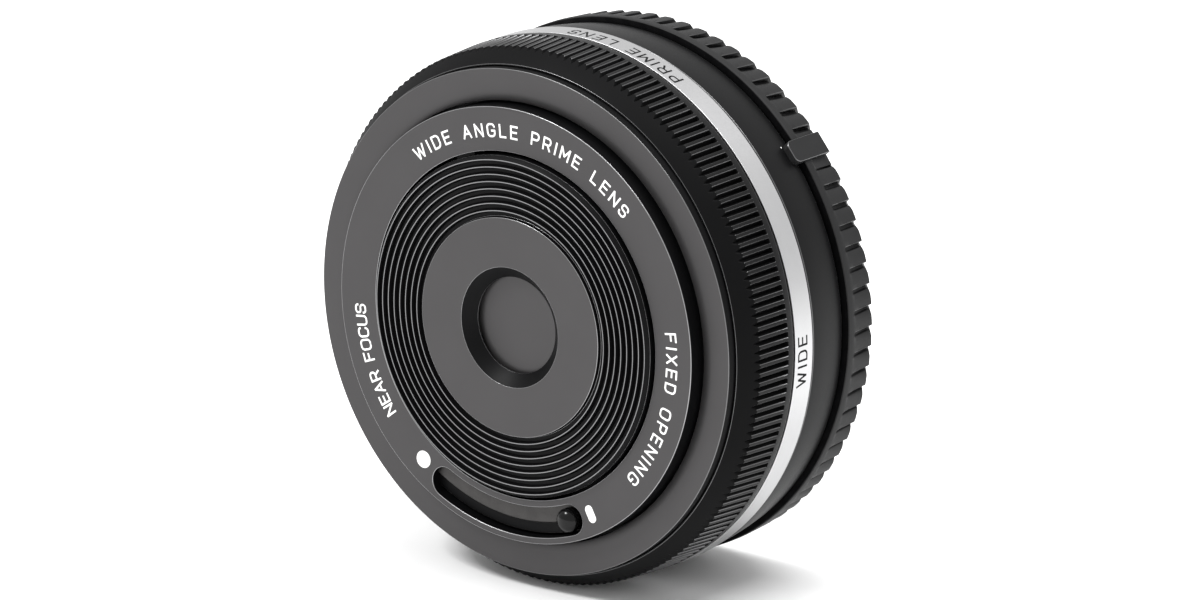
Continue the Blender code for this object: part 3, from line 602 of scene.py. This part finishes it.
def make_cover_drive():
    """Arm that reaches in from the ring, and the pin on it that drives the blade."""
    front, back = span("cover_ring")
    middle = PIVOT_ANGLE + COVER_TURN / 2
    arm_end = 13.65
    arm_root = TRACK_INNER + 0.2
    arm = []
    for radius, offsets in ((arm_end, (-4, -2, 0, 2, 4)), (arm_root, (4, 2, 0, -2, -4))):
        for offset in offsets:
            turn = math.radians(middle + offset)
            arm.append((radius * math.cos(turn), radius * math.sin(turn)))
    mesh = plate_with_holes("cover_drive_arm", [arm], front, back, SOFT_EDGE)
    item = bpy.data.objects.new("cover_drive_arm", mesh)
    settle(dress(item, ["black_plastic"]), "cover_ring")

    pin_top = 0.8
    pin_foot = front + 0.1
    pin_radius = 0.5
    profile = [(0.0, pin_top, 0.0, "steel"), (pin_radius, pin_top, 0.08, "steel"),
               (pin_radius, pin_foot, 0.0, "steel"), (0.0, pin_foot, 0.0, "steel")]
    points, strips = rounded(profile, "steel")
    pin, finishes = lathe("cover_drive_pin", points, strips, round_columns(32))
    pin.data.transform(Matrix.Translation(spot(DRIVE_RADIUS, middle, 0.0) - spot(0.0, 0.0, 0.0)))
    settle(dress(pin, finishes), "cover_ring")


def make_cover_knob():
    """Domed knob that stands in the slot."""
    low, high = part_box("cover_knob")
    radius = (high.x - low.x) / 2 / MM
    top, foot = span("cover_knob")
    dome = 0.95
    rings = 12
    profile = [(0.0, top, 0.0, "gloss_black")]
    for i in range(1, rings + 1):
        turn = math.pi / 2 * i / rings
        depth = top + dome * (1.0 - math.cos(turn))
        profile.append((radius * math.sin(turn), depth, 0.0, "gloss_black"))
    profile += [(radius, foot, 0.05, "gloss_black"), (0.0, foot, 0.0, "gloss_black")]
    points, strips = rounded(profile, "gloss_black")
    knob, finishes = lathe("cover_knob_cap", points, strips, round_columns(64))
    knob.data.transform(Matrix.Translation(((low.x + high.x) / 2, 0.0, (low.z + high.z) / 2)))
    settle(dress(knob, finishes), "cover_ring", ["cover_knob"])


# Outer shells

def bar_columns(count, phase, pitch, section):
    """Columns of evenly spaced bars. section lists (place in the pitch, height) across one bar."""
    columns = []
    for i in range(count):
        for place, height in section:
            columns.append((phase + pitch * (i + place), height))
    return columns


def make_grip():
    """Knurled ring: a smooth cone, straight bars whose grooves run out on it, and a plain rim.

    The cone and the grooves take a painted shade, the bars' top edges and the rounded corners a painted
    highlight.
    """
    inner, outer = radii("grip_ring")
    back = span("grip_ring")[1]
    lip = inner - 0.25
    nose_back = GRIP_NOSE_DEPTH + 0.6
    floor = outer - KNURL_DEPTH
    plain = "anodised_black"
    flank = [(-0.4, 0.25), (-0.31, 0.48), (-0.23, 0.8), (-0.17, 0.97), (-0.12, 1.0)]
    section = [(-0.5, 0.0)] + flank + [(0.0, 1.0)] + [(-place, height) for place, height in flank[::-1]]
    # the cone, from the nose to the bars' tops, takes a painted shade
    profile = [(GRIP_NOSE, GRIP_NOSE_DEPTH, 0.06, "cone_and_groove_shade"), (BAR_TOP, BAR_FRONT, 0.0, plain),
               (outer, KNURL_BACK - 0.08, 0.0, plain), (outer, KNURL_BACK, 0.0, plain),
               (outer, back, 0.08, plain), (inner, back, 0.05, plain), (inner, nose_back, 0.0, plain),
               (lip, nose_back, 0.0, plain), (lip, GRIP_NOSE_DEPTH, 0.03, plain)]
    points, strips = rounded(profile, "edge_highlight_black")
    points, strips = refined(points, strips, GROOVE_START, BAR_FRONT + 0.1, 0.06)

    def radius_at(radius, depth, height):
        if radius < floor or depth >= KNURL_BACK:
            return radius
        return min(radius, floor + (max(radius, BAR_TOP) - floor) * height)

    columns = bar_columns(BAR_COUNT, BAR_PHASE, 360.0 / BAR_COUNT, section)
    # the bars' top edges take a painted highlight and the grooves a painted shade
    bars = (BAR_FRONT - 0.06, KNURL_BACK, "edge_highlight_black", "cone_and_groove_shade")
    item, finishes = lathe("grip_ring_knurl", points, strips, columns, radius_at, bars)
    settle(dress(item, finishes), "lens_body", ["grip_ring"])


def make_silver_band():
    """Plain satin ring behind the grip."""
    inner, outer = radii("silver_band")
    front, back = span("silver_band")
    profile = [(outer, front, 0.06, "satin_silver"), (outer, back, 0.16, "satin_silver"),
               (inner, back, 0.05, "satin_silver"), (inner, front, 0.05, "satin_silver")]
    turned("silver_band_ring", profile, "satin_silver", replaces=["silver_band"])


def barrel_radius(depth):
    """Outer radius of the rear barrel, which falls away ever faster towards the cap."""
    front, back = span("rear_barrel")
    outer = radii("rear_barrel")[1]
    return outer - (outer - BARREL_TAIL) * ((depth - front) / (back - front)) ** 1.8


def make_rear_barrel():
    """Black shell with a painted highlight on its rounded corners, the line at its tail among them, painted
    shade on the tail's end face, and the mount's ledge inside.
    """
    front, back = span("rear_barrel")
    ledge, outer = radii("rear_barrel")
    bore = 28.4
    recess = 27.3
    ledge_front = 17.4
    ledge_back = 18.45
    rings = 8
    plain = "black_plastic"
    profile = [(outer, front, 0.1, plain)]
    for i in range(1, rings):
        depth = front + (back - front) * i / rings
        profile.append((barrel_radius(depth), depth, 0.0, plain))
    # the tail's end face takes a painted shade and every rounded corner a painted highlight
    profile += [(BARREL_TAIL, back, 0.1, "painted_shade_black"), (recess, back, 0.05, plain),
                (recess, ledge_back, 0.05, plain), (ledge, ledge_back, 0.05, plain),
                (ledge, ledge_front, 0.05, plain), (bore, ledge_front, 0.05, plain),
                (bore, front, 0.05, plain)]
    turned("rear_barrel_shell", profile, "edge_highlight_black", replaces=["rear_barrel"])


def make_rear_cap():
    """Cap with ribs cut back from its rim, a cup inside and a shallow groove in its flat back."""
    front = 20.2
    back = span("rear_cap")[1]
    rim = 29.95
    heel = 29.7
    rim_back = 24.6
    seat = rim - 3.0
    cup_floor = 25.9
    cup = 23.4
    collar = 24.9                # outside of the collar round the cup
    collar_front = front + 0.15
    well_floor = 24.2
    well = 28.4
    groove_outer = 24.6          # the shallow groove in the flat back
    groove_inner = 23.75
    groove_slope = 0.15
    groove_floor = back - 0.12
    plain = "cap_plastic"
    # the face from the well out to the rim takes a painted shade
    profile = [(0.0, cup_floor, 0.0, plain), (cup, cup_floor, 0.3, plain), (cup, collar_front, 0.1, plain),
               (collar, collar_front, 0.1, plain), (collar, well_floor, 0.2, plain),
               (well, well_floor, 0.2, plain), (well, front, 0.1, "painted_shade_black"), (rim, front, 0.12, plain),
               (rim, RIB_FRONT, 0.0, plain), (heel, rim_back, 0.15, plain), (seat, back, 0.3, plain),
               (groove_outer, back, 0.08, plain), (groove_outer - groove_slope, groove_floor, 0.05, plain),
               (groove_inner + groove_slope, groove_floor, 0.05, plain), (groove_inner, back, 0.08, plain),
               (0.0, back, 0.0, plain)]
    points, strips = rounded(profile, plain)
    points, strips = refined(points, strips, RIB_FRONT - 0.25, 27.0, 0.25)
    section = [(-0.5, 0.0), (-0.43, 0.0), (-0.41, 0.8), (-0.37, 1.0), (-0.15, 0.98), (0.1, 0.9),
               (0.28, 0.66), (0.35, 0.5), (0.4, 0.1)]

    def radius_at(radius, depth, height):
        if depth <= RIB_FRONT or radius < seat:
            return radius
        run = min((depth - RIB_FRONT) / (rim_back - RIB_FRONT), 1.0)
        fade = min((back - depth) / (back - rim_back), 1.0)
        return radius - RIB_DEPTH * min(0.15 + math.sqrt(run), 1.0) * fade * (1.0 - height)

    ribs = round(360.0 / RIB_PITCH) - 2      # two give way to the tab
    columns = bar_columns(ribs, TAB_ANGLE + 1.5 * RIB_PITCH, RIB_PITCH, section)
    gap = 2.5 * RIB_PITCH        # the plain stretch behind the tab
    columns += [(TAB_ANGLE + gap * (i / 12 - 0.5), VALLEY_TOP) for i in range(1, 12)]
    columns = sorted((angle % 360.0, height) for angle, height in columns)
    # the ribs' top edges take a painted highlight and the valleys between them a painted shade
    bars = (RIB_FRONT + 0.2, rim_back + 0.4, "cap_edge_highlight", "painted_shade_black")
    item, finishes = lathe("rear_cap_shell", points, strips, columns, radius_at, bars)
    settle(dress(item, finishes), "rear_cap", ["rear_cap"])


def tab_outline(front, back, half, corner):
    """Points of (across, depth) round the tab, with its two front corners rounded."""
    outline = []
    for side, first in ((-1.0, 180.0), (1.0, 270.0)):
        for i in range(9):
            turn = math.radians(first + 90.0 * i / 8)
            across = side * (half - corner) + corner * math.cos(turn)
            outline.append((across, front + corner + corner * math.sin(turn)))
    return outline + [(half, back - 0.3), (half, back), (-half, back), (-half, back - 0.3)]


def make_cap_tab():
    """Index tab of the cap: a rounded pad that reaches forward over the barrel."""
    front = span("rear_cap")[0]
    back = 24.3
    top = radii("rear_cap")[1]
    foot = 29.45
    corner = 0.75
    edge = 0.12
    half = TAB_WIDTH / 2
    middle = (front + back) / 2
    outline = tab_outline(front, back, half, corner)
    levels = [(foot, 0.0)]
    for i in range(4):
        turn = math.radians(30.0 * i)
        levels.append((top - edge + edge * math.sin(turn), edge * (1.0 - math.cos(turn))))
    vertices = []
    for radius, inset in levels:
        for x, depth in outline:
            across = x * (1.0 - inset / half)
            along = middle + (depth - middle) * (1.0 - 2 * inset / (back - front))
            vertices.append(spot(radius, TAB_ANGLE + math.degrees(across / top), along))
    mesh = stacked("cap_index_tab", vertices, len(outline))
    tab = dress(bpy.data.objects.new("cap_index_tab", mesh), ["cap_plastic", "edge_highlight_black"])
    outwards = (spot(1.0, TAB_ANGLE, 0.0) - spot(0.0, TAB_ANGLE, 0.0)).normalized()
    # faces that turn part way outwards, on the rounded edges, take a painted highlight
    for polygon in mesh.polygons:
        polygon.material_index = 1 if 0.2 < polygon.normal.dot(outwards) < 0.9 else 0
    settle(tab, "rear_cap")


# Printed marks

def softened(path):
    """Path whose corners, where a point gives a third number, are arcs of that radius."""
    points = []
    for i, point in enumerate(path):
        here = Vector(point[:2])
        if len(point) == 2:
            points.append(here)
            continue
        before = (Vector(path[i - 1][:2]) - here).normalized()
        after = (Vector(path[i + 1][:2]) - here).normalized()
        half = before.angle(after) / 2
        reach = point[2] / math.tan(half)
        centre = (before + after).normalized() * (point[2] / math.sin(half))
        for k in range(ARC_POINTS + 1):
            spoke = (before * reach - centre).lerp(after * reach - centre, k / ARC_POINTS)
            points.append(here + centre + spoke.normalized() * point[2])
    return points


def runs(path):
    """Pieces of a path between its sharp corners."""
    pieces = []
    start = 0
    for i in range(1, len(path)):
        if i == len(path) - 1 or len(path[i]) == 2:
            pieces.append(path[start:i + 1])
            start = i
    return pieces


def printed(name, words, height, bend, width, finish):
    """Lettering of a height, spread to a width and put in place by bend(along, up, proud)."""
    unit = height / (GLYPH_HEIGHT + GLYPH_STROKE)
    pen = GLYPH_STROKE / 2
    spacing = (width / unit - sum(GLYPHS[letter][0] for letter in words)) / (len(words) - 1)
    curve = bpy.data.curves.new(name, "CURVE")
    curve.dimensions = "3D"
    curve.bevel_depth = pen
    curve.bevel_resolution = 2
    curve.use_fill_caps = True
    left = 0.0
    for letter in words:
        advance, strokes = GLYPHS[letter]
        for run in (run for stroke in strokes for run in runs(stroke)):
            points = softened(run)
            first = points[0] + (points[0] - points[1]).normalized() * pen * STROKE_REACH
            last = points[-1] + (points[-1] - points[-2]).normalized() * pen * STROKE_REACH
            points = [first] + points + [last]
            spline = curve.splines.new("POLY")
            spline.points.add(len(points) - 1)
            for point, place in zip(spline.points, points):
                point.co = (left + place.x, place.y + pen, 0.0, 1.0)
        left += advance + spacing
    mesh = mesh_of(curve)
    for vertex in mesh.vertices:
        vertex.co = bend(vertex.co.x * unit, vertex.co.y * unit, vertex.co.z / pen * PAINT)
    clean(mesh)
    return settle(dress(bpy.data.objects.new(name, mesh), [finish]), "lens_body")


def mark(name, radius, angle, half_width, half_length):
    """Painted bar with round ends that lies along the radius, or a dot if it has no length."""
    steps = 24
    centre = Vector((radius * math.cos(math.radians(angle)), radius * math.sin(math.radians(angle))))
    outline = []
    for end in (1.0, -1.0):
        for i in range(steps + 1 if half_length > 0.0 else steps):
            turn = math.pi * i / steps - math.pi / 2 + (0.0 if end > 0 else math.pi)
            point = Vector((end * half_length + half_width * math.cos(turn), half_width * math.sin(turn)))
            point.rotate(Matrix.Rotation(math.radians(angle), 2))
            outline.append(centre + point)
    mesh = plate_with_holes(name, [outline], -PAINT, 2 * PAINT, PAINT / 2)
    settle(dress(bpy.data.objects.new(name, mesh), ["white_paint"]), "lens_body")


def make_name_ring_lettering():
    """White lettering that reads clockwise with its tops outwards, and the slot's two end marks."""
    middle = LETTER_RADIUS + LETTER_HEIGHT / 2
    lines = (("lettering_top", "WIDE ANGLE PRIME LENS", 129.0, 44.8),
             ("lettering_right", "FIXED OPENING", 8.0, -42.0),
             ("lettering_left", "NEAR FOCUS", -142.7, -176.0))
    for name, words, start, end in lines:
        def bend(along, up, proud, start=start):
            return spot(LETTER_RADIUS + up, start - math.degrees(along / middle), -proud)
        printed(name, words, LETTER_HEIGHT, bend, math.radians(start - end) * middle, "white_paint")
    mark("open_mark", 21.57, -126.1, half_width=0.97, half_length=0.0)
    mark("closed_mark", 21.87, -61.3, half_width=0.525, half_length=0.475)


def make_band_lettering():
    """Black lettering round the silver band, with its tops towards the front."""
    outer = radii("silver_band")[1]
    for name, words, start, end in (("band_lettering_top", "PRIME LENS", 64.0, 93.0),
                                    ("band_lettering_side", "WIDE", -7.5, 3.0)):
        def bend(along, up, proud, start=start):
            return spot(outer + proud, start + math.degrees(along / outer), BAND_FOOT - up)
        printed(name, words, BAND_LETTER_HEIGHT, bend, math.radians(end - start) * outer, "black_paint")


def make_index_dot():
    """Small painted dot on the barrel, beside the front of the cap's tab."""
    depth = 18.4
    size = 0.09
    steps = 20
    angle = TAB_ANGLE + 2.1
    vertices = []
    for level, reach in ((-PAINT, size), (PAINT, size), (2 * PAINT, size * 0.7)):
        for i in range(steps):
            turn = 2 * math.pi * i / steps
            along = depth + reach * math.sin(turn)
            radius = barrel_radius(along) + level
            vertices.append(spot(radius, angle + math.degrees(reach * math.cos(turn) / radius), along))
    item = bpy.data.objects.new("mount_index_dot", stacked("mount_index_dot", vertices, steps))
    settle(dress(item, ["white_paint"]), "lens_body")


# Glasses and rings behind the front hole

def meridian(node):
    """Closed profile of (radius, depth) that a turned node was made from, read from its mesh."""
    mesh = frame["nodes"][node].data
    places = []
    for vertex in mesh.vertices:
        radius = math.hypot(vertex.co.x, vertex.co.z) / MM
        angle = math.degrees(math.atan2(vertex.co.z, vertex.co.x))
        places.append((round(radius, 2), angle, round((vertex.co.y - FACE) / MM, 2)))
    first = min((angle for radius, angle, depth in places if radius > 0.0), key=abs)
    beside = {}
    for edge in mesh.edges:
        ends = [places[i] for i in edge.vertices]
        if all(radius == 0.0 or abs(angle - first) < 0.5 for radius, angle, depth in ends):
            a, b = ((radius, depth) for radius, angle, depth in ends)
            beside.setdefault(a, []).append(b)
            beside.setdefault(b, []).append(a)

    # The walk round the profile starts at the front, on the axis if the profile reaches it.
    loop = [min(beside, key=lambda point: (point[0] > 0.0, point[1], -point[0]))]
    onward = beside[loop[0]]
    while onward:
        if loop[0][0] == 0.0:
            loop.append(max(onward, key=lambda point: point[0]))
        else:
            loop.append(min(onward, key=lambda point: point[1]))
        onward = [point for point in beside[loop[-1]] if point not in loop]
    return [Vector(point) for point in loop]


def through(first, middle, last, count):
    """Points after first, up to last, on the arc through three points of a profile."""
    parts = [k / count for k in range(1, count + 1)]
    near = middle - first
    far = last - first
    twist = 2 * (near.x * far.y - near.y * far.x)
    if abs(twist) < 0.000001:
        return [first.lerp(last, part) for part in parts]
    across = far.y * near.length_squared - near.y * far.length_squared
    along = near.x * far.length_squared - far.x * near.length_squared
    centre = first + Vector((across, along)) / twist
    radius = (first - centre).length
    return [centre + (first - centre).lerp(last - centre, part).normalized() * radius for part in parts]


def make_front_optics():
    """Cell, rings and glasses behind the front hole, turned finely from the frame's own profiles."""
    for node in ("front_cell", "front_retainer", "front_spacer", "aperture_stop"):
        profile = [(point.x, point.y, 0.04, "black_plastic") for point in meridian(node)]
        # the rings' rounded corners take a painted highlight
        turned(node + "_turned", profile, "edge_highlight_black", replaces=[node])
    for node in ("lens_element_1", "lens_element_2"):
        points = meridian(node)
        half = len(points) // 2
        curve = []
        for side in (points[:half], points[half:]):
            curve += [side[0]] + through(side[0], side[1], side[-1], LENS_POINTS)
        item, finishes = lathe(node + "_polished", curve, ["glass"] * len(curve), round_columns(96))
        settle(dress(item, finishes), "lens_body", [node])


def finish_cad_nodes():
    """Every node of the frame takes the material of its own slot."""
    for part in frame["record"]["subparts"]:
        mesh = frame["nodes"][part["node"]].data
        mesh.materials.clear()
        mesh.materials.append(FINISHES[part["material_slot"]])


# Studio

def area_light(name, place, size, power):
    """Soft light that points at the middle of the lens."""
    light = bpy.data.lights.new(name, "AREA")
    light.shape = "RECTANGLE"
    light.size = size[0]
    light.size_y = size[1]
    light.energy = power
    item = bpy.data.objects.new(name, light)
    item.location = place
    item.rotation_euler = (Vector(LIGHT_AIM) - Vector(place)).to_track_quat("-Z", "Y").to_euler()
    bpy.context.scene.collection.objects.link(item)


def make_studio():
    """Pale floor under the lens, a white world and two soft lights."""
    mesh = bpy.data.meshes.new("floor")
    half = 3.0
    low = cad_low.z
    corners = [(-half, -half, low), (half, -half, low), (half, half, low), (-half, half, low)]
    mesh.from_pydata(corners, [], [(0, 1, 2, 3)])
    mesh.materials.append(surface("floor_white", (0.92, 0.92, 0.92), 0.9, grain=3.0, mottle=0.005))
    floor = bpy.data.objects.new("floor", mesh)
    bpy.context.scene.collection.objects.link(floor)

    world = bpy.data.worlds.new("studio")
    world.use_nodes = True
    background = world.node_tree.nodes["Background"]
    background.inputs["Color"].default_value = (1.0, 1.0, 1.0, 1.0)
    background.inputs["Strength"].default_value = 0.9
    bpy.context.scene.world = world
    bpy.context.scene.view_settings.view_transform = "Standard"

    area_light("key", (-0.3, -0.45, 0.6), (0.2, 0.2), 5.0)
    area_light("top", (0.25, 0.1, 0.8), (0.15, 0.5), 6.0)


def make_camera():
    """Long lens from the front, right and above."""
    azimuth = math.radians(CAMERA_AZIMUTH)
    level = math.cos(math.radians(CAMERA_ELEVATION))
    rise = math.sin(math.radians(CAMERA_ELEVATION))
    back = Vector((math.sin(azimuth) * level, -math.cos(azimuth) * level, rise))
    data = bpy.data.cameras.new("camera")
    data.lens = CAMERA_LENS
    data.sensor_width = 36.0
    camera = bpy.data.objects.new("camera", data)
    camera.location = CAMERA_AIM + back * CAMERA_DISTANCE
    camera.rotation_euler = (-back).to_track_quat("-Z", "Y").to_euler()
    bpy.context.scene.collection.objects.link(camera)
    bpy.context.scene.camera = camera


make_camera()
finish_cad_nodes()
make_front_plate()
make_name_ring()
make_front_bezel()
make_cover_track()
make_cover_drive()
make_cover_knob()
make_front_optics()
make_grip()
make_silver_band()
make_rear_barrel()
make_rear_cap()
make_cap_tab()
make_name_ring_lettering()
make_band_lettering()
make_index_dot()
make_studio()
